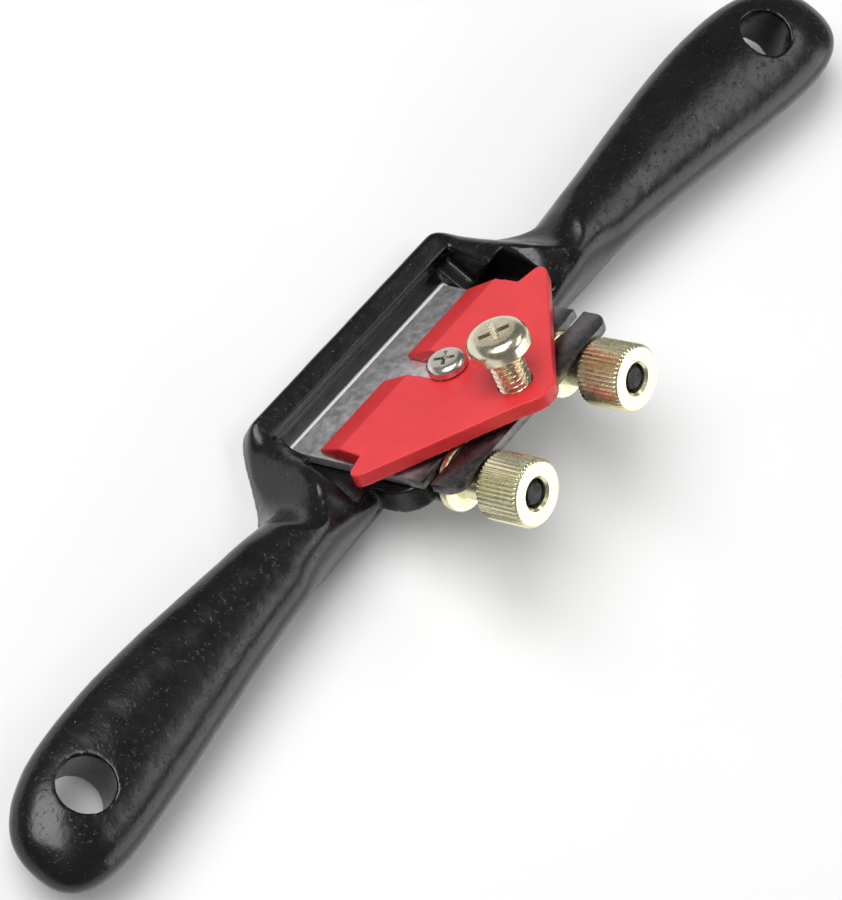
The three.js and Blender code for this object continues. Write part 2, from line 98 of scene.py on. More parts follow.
NUT_RADIUS, NUT_NECK, NUT_BORE = 5.7, 3.2, 2.5
KNURL_TEETH, KNURL_DEPTH, KNURL_STEPS = 44, 0.36, 8
STUD_POINT, NUT_FILLET = 0.7, 0.4

BODY_SKIN, CAP_SKIN = (0.3, 0.4, 7), (0.2, 0.25, 3)
LIP_GROWTH = 0.25  # the mouth's lip starts this much too thick, because the smoothing wears it down
WAVES, WAVE_START_Z, SOLE_SNAP = ((0.05, 7), (0.03, 2.6)), 1.5, 0.2  # each wave has a height and a length

PAST, FAR = 1.0, 60.0  # how far a cutting tool runs past the surface, and right through the part
PLATE_FOOT_Y = EDGE_Y - (BED_TOP_N - BED_PLATE_THICK) / math.sin(BED_ANGLE)
MOUTH_BACK = EDGE_Y - BED_TOP_N / math.sin(BED_ANGLE)
BED = Matrix.Translation((0, EDGE_Y, 0)) @ Matrix.Rotation(BED_ANGLE, 4, "X")


# ------------------------------------------------------------------ mesh tools
def made(name, points, faces):
    mesh = bpy.data.meshes.new(name)
    mesh.from_pydata([tuple(map(float, p)) for p in points], [], [tuple(map(int, f)) for f in faces])
    mesh.validate()
    piece = bpy.data.objects.new(name, mesh)
    bpy.context.scene.collection.objects.link(piece)
    return piece


def bake(piece):
    """Modifiers become plain mesh."""
    depsgraph = bpy.context.evaluated_depsgraph_get()
    mesh = bpy.data.meshes.new_from_object(piece.evaluated_get(depsgraph))
    old = piece.data
    piece.modifiers.clear()
    piece.data = mesh
    bpy.data.meshes.remove(old)
    return piece


def boolean(piece, tool, operation):
    step = piece.modifiers.new("boolean", "BOOLEAN")
    step.operation = operation
    step.solver = "EXACT"
    step.object = tool
    bake(piece)
    bpy.data.objects.remove(tool, do_unlink=True)
    return piece


def cut(piece, tool):
    return boolean(piece, tool, "DIFFERENCE")


def join(piece, tool):
    return boolean(piece, tool, "UNION")


def melt(piece, voxel, quick_voxel, rounds):
    """Even skin over the piece, with its edges rounded a little by each round of smoothing."""
    remesh = piece.modifiers.new("remesh", "REMESH")
    remesh.mode = "VOXEL"
    remesh.voxel_size = voxel
    remesh.adaptivity = 0
    smooth = piece.modifiers.new("smooth", "SMOOTH")
    smooth.factor = 0.5
    smooth.iterations = rounds
    return bake(piece)


def soften(piece, width, segments, angle):
    """Bevels the edges sharper than angle."""
    bevel = piece.modifiers.new("bevel", "BEVEL")
    bevel.width = width
    bevel.segments = segments
    bevel.limit_method = "ANGLE"
    bevel.angle_limit = math.radians(angle)
    bevel.use_clamp_overlap = True
    return bake(piece)


def between(name, low_ring, high_ring):
    """A solid between two outlines that have the same number of points."""
    n = len(low_ring)
    sides = [(i, (i + 1) % n, n + (i + 1) % n, n + i) for i in range(n)]
    return made(name, low_ring + high_ring, [tuple(reversed(range(n))), tuple(range(n, 2 * n)), *sides])


def prism(outline, low, high, name="prism"):
    """A closed outline in the XY plane, raised from low to high."""
    return between(name, [(x, y, low) for x, y in outline], [(x, y, high) for x, y in outline])


def along_x(profile, half):
    """A closed outline in the YZ plane, from x = -half to x = +half."""
    return between("profile", [(-half, y, z) for y, z in profile], [(half, y, z) for y, z in profile])


def block(low, high):
    corners = [(low[0], low[1]), (high[0], low[1]), (high[0], high[1]), (low[0], high[1])]
    return prism(corners, low[2], high[2])


def circle(x, y, radius, count=64):
    turn = [2 * math.pi * i / count for i in range(count)]
    return [(x + radius * math.cos(a), y + radius * math.sin(a)) for a in turn]


def arc(x, y, radius, start, end, count=10):
    turn = [math.radians(start + (end - start) * i / count) for i in range(count + 1)]
    return [(x + radius * math.cos(a), y + radius * math.sin(a)) for a in turn]


def bezier(*control, count=12):
    """Points on the curve after its first one."""
    out = []
    for i in range(1, count + 1):
        left = [Vector(p) for p in control]
        while len(left) > 1:
            left = [a.lerp(b, i / count) for a, b in zip(left, left[1:])]
        out.append(tuple(left[0]))
    return out


def mirrored(outline):
    """The outline's reflection in x = 0, run backwards."""
    return [(-x, y) for x, y in reversed(outline)]


def densified(profile, step):
    """The profile with extra points, none further apart than step."""
    out = [profile[0]]
    for a, b in zip(profile, profile[1:]):
        count = max(1, math.ceil(math.dist(a, b) / step))
        out += [tuple(Vector(a).lerp(Vector(b), i / count)) for i in range(1, count + 1)]
    return out


def lathe(name, profile, segments, relief=None, ring=False):
    """Turns a profile of (radius, height) about Z. relief(radii, heights, angles) gives the cut radii.
    A ring's profile closes on itself, and any other starts and ends on the axis."""
    rows = np.array(profile if ring else profile[1:-1])
    angles = np.linspace(0, 2 * np.pi, segments, endpoint=False)
    radii = np.repeat(rows[:, :1], segments, axis=1)
    heights = np.repeat(rows[:, 1:], segments, axis=1)
    if relief:
        radii = relief(radii, heights, angles[None, :])
    points = np.stack([radii * np.cos(angles), radii * np.sin(angles), heights], -1).reshape(-1, 3)
    count = len(rows)
    faces = []
    for i in range(count if ring else count - 1):
        upper = (i + 1) % count
        for j in range(segments):
            k = (j + 1) % segments
            faces.append((i * segments + j, i * segments + k, upper * segments + k, upper * segments + j))
    points = points.tolist()
    if not ring:
        points += [(0, 0, profile[0][1]), (0, 0, profile[-1][1])]
        last, bottom = (count - 1) * segments, len(points) - 2
        for j in range(segments):
            k = (j + 1) % segments
            faces.append((bottom, k, j))
            faces.append((bottom + 1, last + j, last + k))
    return made(name, points, faces)


def thread(pitch, radius, low, high):
    """Relief of a right-hand screw thread on the stretch from low to high."""
    depth = 0.6 * pitch
    crest, root = 0.15, 0.8

    def relief(radii, heights, angles):
        phase = (heights / pitch - angles / (2 * np.pi)) % 1
        down = np.clip((np.abs(2 * phase - 1) - crest) / (root - crest), 0, 1)
        ends = np.clip((heights - low) / pitch, 0, 1) * np.clip((high - heights) / (0.5 * pitch), 0, 1)
        cut_radii = np.minimum(radii, radius - depth * down * np.minimum(ends, 1))
        return np.where((heights >= low) & (heights <= high) & (radii > 0.6 * radius), cut_radii, radii)

    return relief


def finish(piece, placement=None, sharp=None):
    """From millimetres in the piece's own frame to metres in the row's. sharp is the crease angle."""
    piece.data.transform(Matrix.Scale(MM, 4) @ (placement or Matrix.Identity(4)))
    piece.data.polygons.foreach_set("use_smooth", [True] * len(piece.data.polygons))
    if sharp:
        piece.data.set_sharp_from_angle(angle=math.radians(sharp))
    piece.data.update()
    return piece


# ------------------------------------------------------------------ materials
class Surface:
    """A material with one Principled shader, and short names for the nodes that feed it.
    The colour and roughness it starts with are the plain values under those nodes."""

    def __init__(self, name, colour, roughness, metallic=0.0):
        self.material = bpy.data.materials.new(name)
        self.material.use_nodes = True
        self.tree = self.material.node_tree
        self.shader = next(n for n in self.tree.nodes if n.type == "BSDF_PRINCIPLED")
        self.shader.inputs["Base Color"].default_value = (*colour, 1)
        self.shader.inputs["Roughness"].default_value = roughness
        self.shader.inputs["Metallic"].default_value = metallic
        self.place = self.node("ShaderNodeTexCoord").outputs["Object"]

    def node(self, kind, **settings):
        made_node = self.tree.nodes.new(kind)
        for key, value in settings.items():
            setattr(made_node, key, value)
        return made_node

    def link(self, source, target):
        self.tree.links.new(source, target)

    def split(self, vector):
        """The outputs X, Y and Z of a vector."""
        parts = self.node("ShaderNodeSeparateXYZ")
        self.link(vector, parts.inputs[0])
        return parts.outputs

    def geometry(self, output):
        return self.node("ShaderNodeNewGeometry").outputs[output]

    def stretched(self, rotation, scale):
        """The object's coordinates, turned and scaled."""
        mapping = self.node("ShaderNodeMapping")
        mapping.inputs["Rotation"].default_value = rotation
        mapping.inputs["Scale"].default_value = scale
        self.link(self.place, mapping.inputs["Vector"])
        return mapping.outputs["Vector"]

    def noise(self, size, detail=3, roughness=0.5, place=None):
        """Noise whose features are about size millimetres across."""
        texture = self.node("ShaderNodeTexNoise")
        texture.inputs["Scale"].default_value = 1 / (size * MM)
        texture.inputs["Detail"].default_value = detail
        texture.inputs["Roughness"].default_value = roughness
        self.link(place or self.place, texture.inputs["Vector"])
        return texture.outputs["Fac"]

    def ramp(self, value, low, high, out_low=0.0, out_high=1.0):
        """The value, with low to high spread over out_low to out_high and held there beyond."""
        spread = self.node("ShaderNodeMapRange", clamp=True)
        sockets = ("From Min", "From Max", "To Min", "To Max")
        for socket, number in zip(sockets, (low, high, out_low, out_high)):
            spread.inputs[socket].default_value = number
        self.link(value, spread.inputs["Value"])
        return spread.outputs["Result"]

    def math(self, operation, a, b):
        """a and b are numbers or sockets."""
        math_node = self.node("ShaderNodeMath", operation=operation)
        for socket, value in zip(math_node.inputs, (a, b)):
            if isinstance(value, (int, float)):
                socket.default_value = value
            else:
                self.link(value, socket)
        return math_node.outputs[0]

    def blend(self, factor, a, b):
        """From colour a to colour b, each a tuple or a socket."""
        mix_node = self.node("ShaderNodeMix", data_type="RGBA")
        self.link(factor, mix_node.inputs["Factor"])
        for socket, value in (("A", a), ("B", b)):
            target = next(s for s in mix_node.inputs if s.name == socket and s.type == "RGBA")
            if isinstance(value, tuple):
                target.default_value = (*value, 1)
            else:
                self.link(value, target)
        return next(s for s in mix_node.outputs if s.type == "RGBA")

    def bump(self, height, depth, before=None):
        """depth is the height in millimetres that the full range of height stands for."""
        bump_node = self.node("ShaderNodeBump")
        bump_node.inputs["Distance"].default_value = depth * MM
        self.link(height, bump_node.inputs["Height"])
        if before:
            self.link(before, bump_node.inputs["Normal"])
        return bump_node.outputs["Normal"]

    def edges(self, low, high):
        return self.ramp(self.geometry("Pointiness"), low, high)

    def feed(self, **sockets):
        """Links the shader's sockets, and hands back the finished material."""
        for socket, source in sockets.items():
            self.link(source, self.shader.inputs[socket.replace("_", " ")])
        return self.material


# pairs are the darker and the lighter tone that a surface varies between
BLACK_TONES = (0.003, 0.003, 0.0036), (0.007, 0.0065, 0.0078)
BLACK_SPECK = (0.16, 0.155, 0.15)
IRON_TONES = (0.30, 0.30, 0.31), (0.48, 0.48, 0.49)
SOLE_SKIN, SOLE_ROUGHNESS = 0.04, 0.36
RED_TONES = (0.72, 0.030, 0.036), (0.79, 0.040, 0.047)
# painted shade: the deep red that the cap's sharp edges are darkened towards
RED_EDGE_SHADE = (0.46, 0.010, 0.012)
GROUND_TONES = (0.74, 0.74, 0.745), (0.88, 0.875, 0.865)
GRINDING_LINE = (0.85, 0.85, 0.85)
FORGED_TONES = (0.10, 0.095, 0.095), (0.19, 0.18, 0.18)
PAPER_TONES = (0.905, 0.905, 0.905), (0.925, 0.925, 0.925)


def black_enamel():
    """Gloss paint with orange peel, pits and pale specks, and bare ground iron on the sole."""
    s = Surface("black_enamel", (0.008, 0.0075, 0.009), 0.25)
    peel = s.noise(1.6, 2, 0.45)
    grit = s.noise(0.35, 3, 0.6)
    pits = s.ramp(s.noise(0.8, 2, 0.6), 0.30, 0.38)
    normal = s.bump(peel, 0.045)
    normal = s.bump(grit, 0.006, normal)
    normal = s.bump(pits, 0.025, normal)
    specks = s.ramp(s.noise(0.4, 1, 0.5), 0.76, 0.785)
    patches = s.noise(9, 3, 0.55)
    paint = s.blend(s.ramp(patches, 0.35, 0.7), *BLACK_TONES)
    paint = s.blend(specks, paint, BLACK_SPECK)
    ground = s.noise(1.0, 4, 0.6, s.stretched((0, 0, 0), (0.06, 1, 1)))
    iron = s.blend(ground, *IRON_TONES)
    low = s.math("LESS_THAN", s.split(s.place)["Z"], SOLE_SKIN * MM)
    facing_down = s.math("LESS_THAN", s.split(s.geometry("Normal"))["Z"], -0.9)
    sole = s.math("MULTIPLY", low, facing_down)
    gloss = s.ramp(s.noise(3.5, 3, 0.6), 0.3, 0.7, 0.19, 0.30)
    return s.feed(
        Base_Color=s.blend(sole, paint, iron),
        Metallic=sole,
        Roughness=s.math("MAXIMUM", gloss, s.math("MULTIPLY", sole, SOLE_ROUGHNESS)),
        Normal=normal,
    )


def red_enamel():
    """Satin paint, with painted shade that darkens it along its sharp edges."""
    s = Surface("red_enamel", (0.76, 0.035, 0.042), 0.36)
    peel = s.noise(1.1, 2, 0.5)
    grit = s.noise(0.25, 2, 0.5)
    normal = s.bump(grit, 0.003, s.bump(peel, 0.02))
    tone = s.ramp(s.noise(6, 3, 0.5), 0.3, 0.7)
    paint = s.blend(tone, *RED_TONES)
    # painted shade: the sharp edges, found by pointiness, are darkened towards a deeper red
    paint = s.blend(s.math("MULTIPLY", s.edges(0.52, 0.62), 0.4), paint, RED_EDGE_SHADE)
    gloss = s.ramp(s.noise(2.5, 3, 0.6), 0.3, 0.7, 0.34, 0.48)
    return s.feed(Base_Color=paint, Roughness=gloss, Normal=normal)


def ground_steel():
    """Ground bright near the edge, and left dark from the forge towards its upper end."""
    s = Surface("cutter_steel", (0.42, 0.42, 0.42), 0.32, 1.0)
    lines = s.noise(0.16, 4, 0.7, s.stretched((-BED_ANGLE, 0, 0), (1, 0.04, 1)))
    mottle = s.noise(1.3, 4, 0.65)
    where = s.split(s.place)
    climb = s.math("ADD", where["Y"], where["Z"])
    climb = s.math("ADD", climb, s.math("MULTIPLY", s.noise(5, 3, 0.6), 4 * MM))
    start, end = ((EDGE_Y + b / math.sin(BED_ANGLE)) * MM for b in (GROUND_END_B, DARK_START_B))
    upper = s.ramp(climb, start, end)
    steel = s.blend(s.ramp(mottle, 0.35, 0.7), *GROUND_TONES)
    steel = s.blend(s.ramp(lines, 0.35, 0.65, 0, 0.3), steel, GRINDING_LINE)
    forged = s.blend(s.ramp(mottle, 0.35, 0.7), *FORGED_TONES)
    dullness = s.math("ADD", mottle, s.math("MULTIPLY", upper, -0.6))
    return s.feed(
        Base_Color=s.blend(upper, steel, forged),
        Roughness=s.ramp(dullness, -0.3, 0.7, 0.26, 0.66),
        Normal=s.bump(lines, 0.004),
    )


def turned_metal(name, low, high, roughness):
    """Turned or plated metal, with fine changes of tone, a little grain and a slightly uneven shine."""
    s = Surface(name, high, roughness, 1.0)
    tone = s.ramp(s.noise(1.6, 3, 0.5), 0.3, 0.7)
    fine = s.noise(0.2, 3, 0.5)
    return s.feed(
        Base_Color=s.blend(tone, low, high),
        Roughness=s.ramp(s.noise(0.7, 3, 0.6), 0.3, 0.7, roughness * 0.75, roughness * 1.3),
        Normal=s.bump(fine, 0.0015),
    )


def pale_floor():
    s = Surface("pale_floor", (0.9, 0.9, 0.9), 0.7)
    grain = s.noise(2.0, 3, 0.5)
    paper = s.blend(s.ramp(s.noise(60, 2, 0.5), 0.3, 0.7), *PAPER_TONES)
    return s.feed(Base_Color=paper, Normal=s.bump(grain, 0.02))


# ------------------------------------------------------------------ body casting
def mix(a, b, t):
    return a + (b - a) * t


def ease(x, low, high):
    t = np.clip((x - low) / (high - low), 0, 1)
    return t * t * (3 - 2 * t)


def handle_half_width(x):
    swell = mix(NECK_HALF_WIDTH, WIDEST_HALF_WIDTH, ease(x, SWELL_START, WIDEST_X))
    past = np.clip((x - WIDEST_X) / (TIP_X - WIDEST_X), 0, 1)
    tip = WIDEST_HALF_WIDTH * (1 - past**TIP_BLUNTNESS) ** (1 / TIP_BLUNTNESS)
    return np.where(x > WIDEST_X, tip, swell)


def handle_centre_y(x):
    along = np.clip((x - NECK_X) / (TIP_X - NECK_X), 0, 1)
    return mix(NECK_CENTRE_Y, TIP_CENTRE_Y, along**CENTRE_BEND)


def handle_half_thick(x):
    past = np.clip((x - (TIP_X - TIP_ROUNDING)) / TIP_ROUNDING, 0, 1)
    return HANDLE_HALF_THICK * np.sqrt(1 - past**2)


def upper_limit(x, y, front):
    """Height of the top: from the rail up to the cheeks, and from the flare's low skirt to the handle."""
    to_cheek = np.clip((y - RAIL_INNER) / (CHEEK_BACK_Y - RAIL_INNER), 0, 1)
    middle = mix(RAIL_TOP, CHEEK_TOP, to_cheek)
    skirt = np.minimum(SKIRT_HEIGHT + SKIRT_CLIMB * (y - front), HANDLE_MIDDLE_Z + HANDLE_HALF_THICK)
    limit = mix(middle, skirt, ease(x, FLARE_START, SKIRT_FULL))
    return limit + HANDLE_RISE * ease(x, HANDLE_START, HANDLE_CLEAR)


def section_limits(out):
    """Front and back of the casting at a distance out from the middle."""
    centre, half = handle_centre_y(out), handle_half_width(out)
    flare = ease(out, FLARE_START, FLARE_END)
    return mix(SOLE_FRONT, centre - half, flare), mix(SOLE_BACK, centre + half, flare)


def smooth_lower(a, b):
    """The lower of two heights, rounded where they meet."""
    near = np.clip(1 - np.abs(a - b) / TOP_BLEND, 0, 1)
    return np.minimum(a, b) - near**2 * TOP_BLEND / 4


def casting_blank(stations=640, sides=144):
    """One smooth skin from tip to tip."""
    x = TIP_X * np.sin(np.linspace(-np.pi / 2, np.pi / 2, stations + 1))[:, None]
    turn = np.linspace(0, 2 * np.pi, sides, endpoint=False)[None, :]
    out = np.abs(x)
    thick = handle_half_thick(out)
    front, back = section_limits(out)
    bottom = mix(0, HANDLE_MIDDLE_Z - thick, ease(out, UNDERSIDE_START, UNDERSIDE_END))
    widest = mix(WIDEST_LOW_Z, HANDLE_MIDDLE_Z, ease(out, WIDEST_RISE_START, HANDLE_CLEAR))
    top = HANDLE_MIDDLE_Z + thick
    square = mix(SQUARE_MIDDLE, SQUARE_HANDLE, ease(out, SOLE_HALF_LENGTH, NECK_X))
    across, up = np.cos(turn), np.sin(turn)
    y = mix(front, back, 0.5 + 0.5 * np.sign(across) * np.abs(across) ** square)
    z = mix(widest, np.where(up > 0, top, bottom), np.abs(up) ** square)
    lowered = np.maximum(smooth_lower(z, upper_limit(out, y, front)), bottom)
    z = np.where(up > 0, lowered, z)
    skin = np.stack([np.broadcast_to(x, y.shape), y, z], -1)
    points = [skin[0].mean(0), skin[-1].mean(0), *skin[1:-1].reshape(-1, 3)]
    faces = []
    for i in range(stations - 1):
        here = 2 + i * sides
        for j in range(sides):
            k = (j + 1) % sides
            if i == 0:
                faces.append((0, here + k, here + j))
            if i == stations - 2:
                faces.append((1, here + j, here + k))
            else:
                faces.append((here + j, here + k, here + sides + k, here + sides + j))
    return made("body_casting_iron", points, faces)


def sole_outline():
    side, corner, front = SOLE_HALF_LENGTH, SOLE_CORNER, SOLE_FRONT
    right = [(side - corner, front), *bezier((side - corner, front), (side, front), (side, front + corner))]
    outline = [*right, (side, SOLE_BACK)]
    return outline + mirrored(outline)


def foot_outline():
    """The sole's flat, with its thin skirts under both flares."""
    x = np.linspace(0, FOOT_END, 60)
    front, _ = section_limits(x)
    edge = list(zip(x, front))
    outline = edge + bezier(edge[-1], (FOOT_END, SOLE_BACK), (FOOT_BACK_X, SOLE_BACK), count=20)
    return outline + mirrored(outline[1:])


def plate_outline(half, low, high, corner):
    """A rectangle with its two upper corners rounded."""
    rounded = arc(half - corner, high - corner, corner, 0, 90)
    outline = [(half, low), *rounded]
    return outline + mirrored(outline)


def tilted(piece):
    piece.data.transform(BED)
    return piece


def bar(x, n, radius, low, high):
    """A cylinder up the bed."""
    rod = prism(circle(x, -n, radius), low, high)
    rod.data.transform(Matrix.Rotation(-math.pi / 2, 4, "X"))
    return rod


def bed_plate():
    """The sloping plate under the cutter, with bosses for the studs and the cap screw."""
    outline = plate_outline(BED_HALF_WIDTH, 0, BED_END_B, BED_CORNER)
    bed = prism(outline, BED_TOP_N - BED_PLATE_THICK, BED_TOP_N)
    for side in (-1, 1):
        join(bed, bar(side * STUD_X, STUD_N, BOSS_RADIUS, BOSS_START_B, BED_END_B))
    # the boss stops just under the plate's face, so that the two don't share a plane
    join(bed, prism(circle(0, CAP_SCREW_B, BOSS_RADIUS), CAP_SCREW_END_N - REST_GAP, BED_TOP_N - 0.01))
    cut(bed, block((-FAR, -FAR, BED_TOP_N), (FAR, FAR, FAR)))
    tilted(bed)
    return cut(bed, block((-FAR, -FAR, -FAR), (FAR, FAR, 0)))


def wedge_space():
    """The open space under the bed plate."""
    return along_x([
        (PLATE_FOOT_Y + SOLE_THICK, SOLE_THICK),
        (SOLE_BACK + FAR, SOLE_THICK),
        (SOLE_BACK + FAR, SOLE_BACK + FAR - PLATE_FOOT_Y),
    ], BED_HALF_WIDTH)


def throat_space():
    """Everything above the bed and behind the rail."""
    return along_x([
        THROAT_FLOOR,
        (MOUTH_BACK + THROAT_FLOOR[1], THROAT_FLOOR[1]),
        (MOUTH_BACK + FAR, FAR),
        (RAIL_INNER, FAR),
        (RAIL_INNER, RAIL_TOP),
    ], POCKET_HALF)


def mouth_space():
    """The slot down through the sole, just wider than the cutter."""
    return along_x([
        (MOUTH_FRONT + LIP_GROWTH, -PAST),
        (MOUTH_BACK - PAST, -PAST),
        (MOUTH_BACK + RAIL_TOP, RAIL_TOP),
        (RAIL_INNER, RAIL_TOP),
        THROAT_FLOOR,
        (MOUTH_LIP[0] + LIP_GROWTH, MOUTH_LIP[1]),
        (MOUTH_FRONT + LIP_GROWTH, 0),
    ], MOUTH_HALF)


def ear_space():
    """Room between the cheeks for the lever cap's ears."""
    return along_x([
        (EAR_POCKET_FRONT, EAR_POCKET_FRONT - MOUTH_BACK),
        (MOUTH_BACK + FAR, FAR),
        (EAR_POCKET_FRONT, FAR),
    ], EAR_POCKET_HALF)


def body_casting():
    screw_bore = CAP_SCREW_RADIUS + REST_GAP
    body = casting_blank()
    join(body, prism(sole_outline(), 0, SOLE_THICK))
    join(body, prism(foot_outline(), 0, SKIRT_HEIGHT))
    cut(body, wedge_space())
    join(body, bed_plate())
    cut(body, throat_space())
    cut(body, mouth_space())
    cut(body, ear_space())
    for side in (-1, 1):
        cut(body, prism(circle(side * HOLE_X, HOLE_Y, HOLE_RADIUS), -PAST, FAR))
        cut(body, tilted(bar(side * STUD_X, STUD_N, STUD_RADIUS + REST_GAP, STUD_START_B - PAST, FAR)))
    cut(body, tilted(prism(circle(0, CAP_SCREW_B, screw_bore), CAP_SCREW_END_N - REST_GAP, FAR)))
    cut(body, block((-2 * FAR, -FAR, -FAR), (2 * FAR, FAR, 0)))
    melt(body, *BODY_SKIN)
    cast_skin(body)
    return finish(body)


def cast_skin(body):
    """The slow waves of a hand-finished casting, none of them on the ground sole."""
    count = len(body.data.vertices)
    points = np.empty(count * 3)
    normals = np.empty(count * 3)
    body.data.vertices.foreach_get("co", points)
    body.data.vertex_normals.foreach_get("vector", normals)
    points, normals = points.reshape(-1, 3), normals.reshape(-1, 3)
    waves = np.array([
        sum(height * noise.noise(Vector(p) / length) for height, length in WAVES) for p in points
    ])
    points += normals * (waves * np.clip(points[:, 2] / WAVE_START_Z, 0, 1))[:, None]
    points[points[:, 2] < SOLE_SNAP, 2] = 0
    points[:, 2] = np.maximum(points[:, 2], 0)
    body.data.vertices.foreach_set("co", points.ravel())
    body.data.update()


# ------------------------------------------------------------------ cutter and lever cap
def cutter():
    """A plate with rounded upper corners, a long hole, a slot in each side and a ground bevel."""
    radius = (FEED_SLOT_HIGH - FEED_SLOT_LOW) / 2
    inner = FEED_SLOT_INNER + radius
    corner = arc(CUTTER_HALF_WIDTH - CUTTER_CORNER, CUTTER_TOP_B - CUTTER_CORNER, CUTTER_CORNER, 0, 90)
    right = [
        (CUTTER_HALF_WIDTH, CUTTER_EDGE_B),
        (CUTTER_HALF_WIDTH, FEED_SLOT_LOW),
        *arc(inner, FEED_SLOT_LOW + radius, radius, 270, 90, 16),
        (CUTTER_HALF_WIDTH, FEED_SLOT_HIGH),
        *corner,
    ]
    blade = prism(right + mirrored(right), -CUTTER_THICK, 0, "cutter_blade")
    hole = arc(0, CUTTER_HOLE_HIGH, CUTTER_HOLE_RADIUS, 0, 180, 20)
    hole += arc(0, CUTTER_HOLE_LOW, CUTTER_HOLE_RADIUS, 180, 360, 20)
    cut(blade, prism(hole, -CUTTER_THICK - PAST, PAST))
    rise = CUTTER_THICK + PAST
    cut(blade, along_x([
        (CUTTER_EDGE_B - PAST, -rise),
        (CUTTER_EDGE_B + rise / math.tan(CUTTER_BEVEL_ANGLE), -rise),
        (CUTTER_EDGE_B, 0),
        (CUTTER_EDGE_B - PAST, 0),
    ], CUTTER_HALF_WIDTH + PAST))
    soften(blade, CUTTER_SOFT_EDGE, 2, 40)
    return finish(blade, BED, 30)


def cap_outline():
    """Square nose with the slot in it, a step out to each ear, and sides that run in to the tail."""
    ear_front, ear_back, tail = (25.8, 18.9), (26.2, 21.8), (4.6, 38.8)
    right = [
        (CAP_SLOT_MOUTH, CAP_NOSE_B), (21.2, CAP_NOSE_B), (22.3, 13.6), (22.6, 18.2), ear_front,
        *bezier(ear_front, (CAP_HALF_WIDTH, 19.2), (CAP_HALF_WIDTH, 20.8), ear_back),
        tail,
        *bezier(tail, (CAP_TAIL_CORNER, CAP_TAIL_B), (0, CAP_TAIL_B)),
    ]
    slot = [
        *arc(0, CAP_SLOT_END_B - CAP_SLOT_SEAT, CAP_SLOT_SEAT, 90, 0, 12),
        (CAP_SLOT_SEAT, CAP_SLOT_SEAT_B),
    ]
    return right + mirrored(right)[1:] + mirrored(slot) + slot[1:]


def lever_cap():
    cap = prism(cap_outline(), REST_GAP, CAP_TOP_N, "lever_cap_plate")
    cut(cap, along_x([
        (CAP_NOSE_B - PAST, CAP_NOSE_EDGE_N),
        (CAP_NOSE_B, CAP_NOSE_EDGE_N),
        (CAP_BEVEL_END_B, CAP_TOP_N),
        (CAP_BEVEL_END_B, CAP_TOP_N + PAST),
        (CAP_NOSE_B - PAST, CAP_TOP_N + PAST),
    ], FAR))
    cut(cap, block((-FAR, CAP_NOSE_LAND_B, -PAST), (FAR, FAR, CAP_RELIEF_N)))
    cut(cap, prism(circle(0, THUMB_B, THUMB_RADIUS + THUMB_GAP), -PAST, CAP_TOP_N + PAST))
    melt(cap, *CAP_SKIN)
    return finish(cap, BED)


# ------------------------------------------------------------------ screws, studs and nuts
def cross_recess(top, reach, width, depth):
    """A tool that cuts a tapered cross recess into a head."""
    def cross(arm, half):
        top_side = [(arm, half), (half, half), (half, arm), (-half, arm), (-half, half), (-arm, half)]
        return top_side + [(-x, -y) for x, y in top_side]

    upper, lower = cross(reach, width / 2), cross(reach * 0.45, width * 0.3)
    points = [(x, y, top - depth) for x, y in lower] + [(x, y, top) for x, y in upper]
    points += [(x, y, top + PAST) for x, y in upper]
    sides = [
        (level + i, level + (i + 1) % 12, level + 12 + (i + 1) % 12, level + 12 + i)
        for level in (0, 12) for i in range(12)
    ]
    return made("recess", points, [tuple(reversed(range(12))), tuple(range(24, 36)), *sides])


def pan_head_screw(name, low, seat, top, shank, head, pitch):
    """A threaded shank under a domed pan head."""
    height = top - seat
    rim = HEAD_RIM * height
    dome = [
        (head * (1 - HEAD_DOME * (1 - math.cos(a))), seat + rim + (height - rim) * math.sin(a))
        for a in np.linspace(0, math.pi / 2, 14)
    ]
    dome_edge = dome[-1][0]
    side = densified([(shank - SHANK_CHAMFER, low), (shank, low + SHANK_CHAMFER), (shank, seat)], 0.07)
    profile = [
        (0, low), *side, (head - 0.15, seat), (head, seat + 0.15), *dome, (dome_edge * 0.5, top), (0, top),
    ]
    screw = lathe(name, profile, 96, thread(pitch, shank, low, seat - 0.35 * pitch))
    return cut(screw, cross_recess(top, RECESS_REACH * head, RECESS_WIDTH * head, RECESS_DEPTH * head))


def screw_place(b, turn):
    """Square to the bed at b, turned about its axis by turn in radians."""
    return BED @ Matrix.Translation((0, b, 0)) @ Matrix.Rotation(turn, 4, "Z")


def lever_cap_screw():
    seat = CAP_TOP_N + REST_GAP
    screw = pan_head_screw(
        "lever_cap_screw_steel", CAP_SCREW_END_N, seat, seat + CAP_SCREW_HEIGHT,
        CAP_SCREW_RADIUS, CAP_SCREW_HEAD, CAP_SCREW_PITCH)
    return finish(screw, screw_place(CAP_SCREW_B, CAP_SCREW_TURN), 38)


def thumbscrew():
    screw = pan_head_screw(
        "thumbscrew_brass", REST_GAP, THUMB_HEAD_BOTTOM, THUMB_HEAD_TOP,
        THUMB_RADIUS, THUMB_HEAD, THUMB_PITCH)
    return finish(screw, screw_place(THUMB_B, THUMB_TURN), 38)


def stud(side):
    """A threaded rod with a chamfer at both ends and a shallow dimple in the end that shows."""
    tip, dimple = STUD_RADIUS - STUD_POINT, STUD_END_B - 0.25
    rod = densified([
        (tip, STUD_START_B), (STUD_RADIUS, STUD_START_B + STUD_POINT),
        (STUD_RADIUS, STUD_END_B - STUD_POINT), (tip, STUD_END_B),
    ], 0.09)
    profile = [(0, STUD_START_B), *rod, (tip - 0.3, STUD_END_B), (0.5, dimple), (0, dimple)]
    relief = thread(STUD_PITCH, STUD_RADIUS, STUD_START_B, STUD_END_B)
    return lathe(f"adjusting_stud_{side}_steel", profile, 64, relief)


